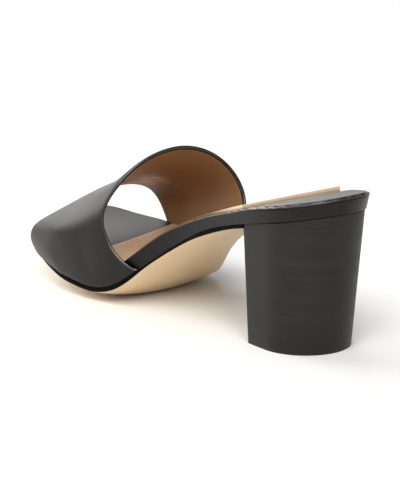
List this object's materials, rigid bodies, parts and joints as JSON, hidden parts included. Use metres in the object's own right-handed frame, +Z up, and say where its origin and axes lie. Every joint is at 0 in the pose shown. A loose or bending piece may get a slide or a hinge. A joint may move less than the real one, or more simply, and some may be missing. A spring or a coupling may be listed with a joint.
{
  "type": "block-heel slide sandal",
  "caption": "Left slide sandal with a wide vamp, open toe and back, wrapped footbed and a tall tapering block heel.",
  "frame": {"origin": "on the floor, under the middle of the shoe's bounding box", "axes": "+Z up; +Y from the toe to the heel, the shoe's longest extent; +X to the outer (lateral) side of this left shoe"},
  "size_m": [0.0836, 0.2271, 0.0754],
  "materials": {
    "upper_leather": "smooth satin black",
    "wrap_leather": "smooth satin black",
    "sock_leather": "matte tan lining",
    "sole_leather": "smooth natural, black edge",
    "heel_stack": "dyed black layers, satin",
    "top_rubber": "matte black"
  },
  "bodies": {
    "root": {"upper": "upper_leather", "footbed": "wrap_leather", "sock": "sock_leather", "outsole": "sole_leather", "heel": "heel_stack", "top_piece": "top_rubber"}
  },
  "joints": []
}
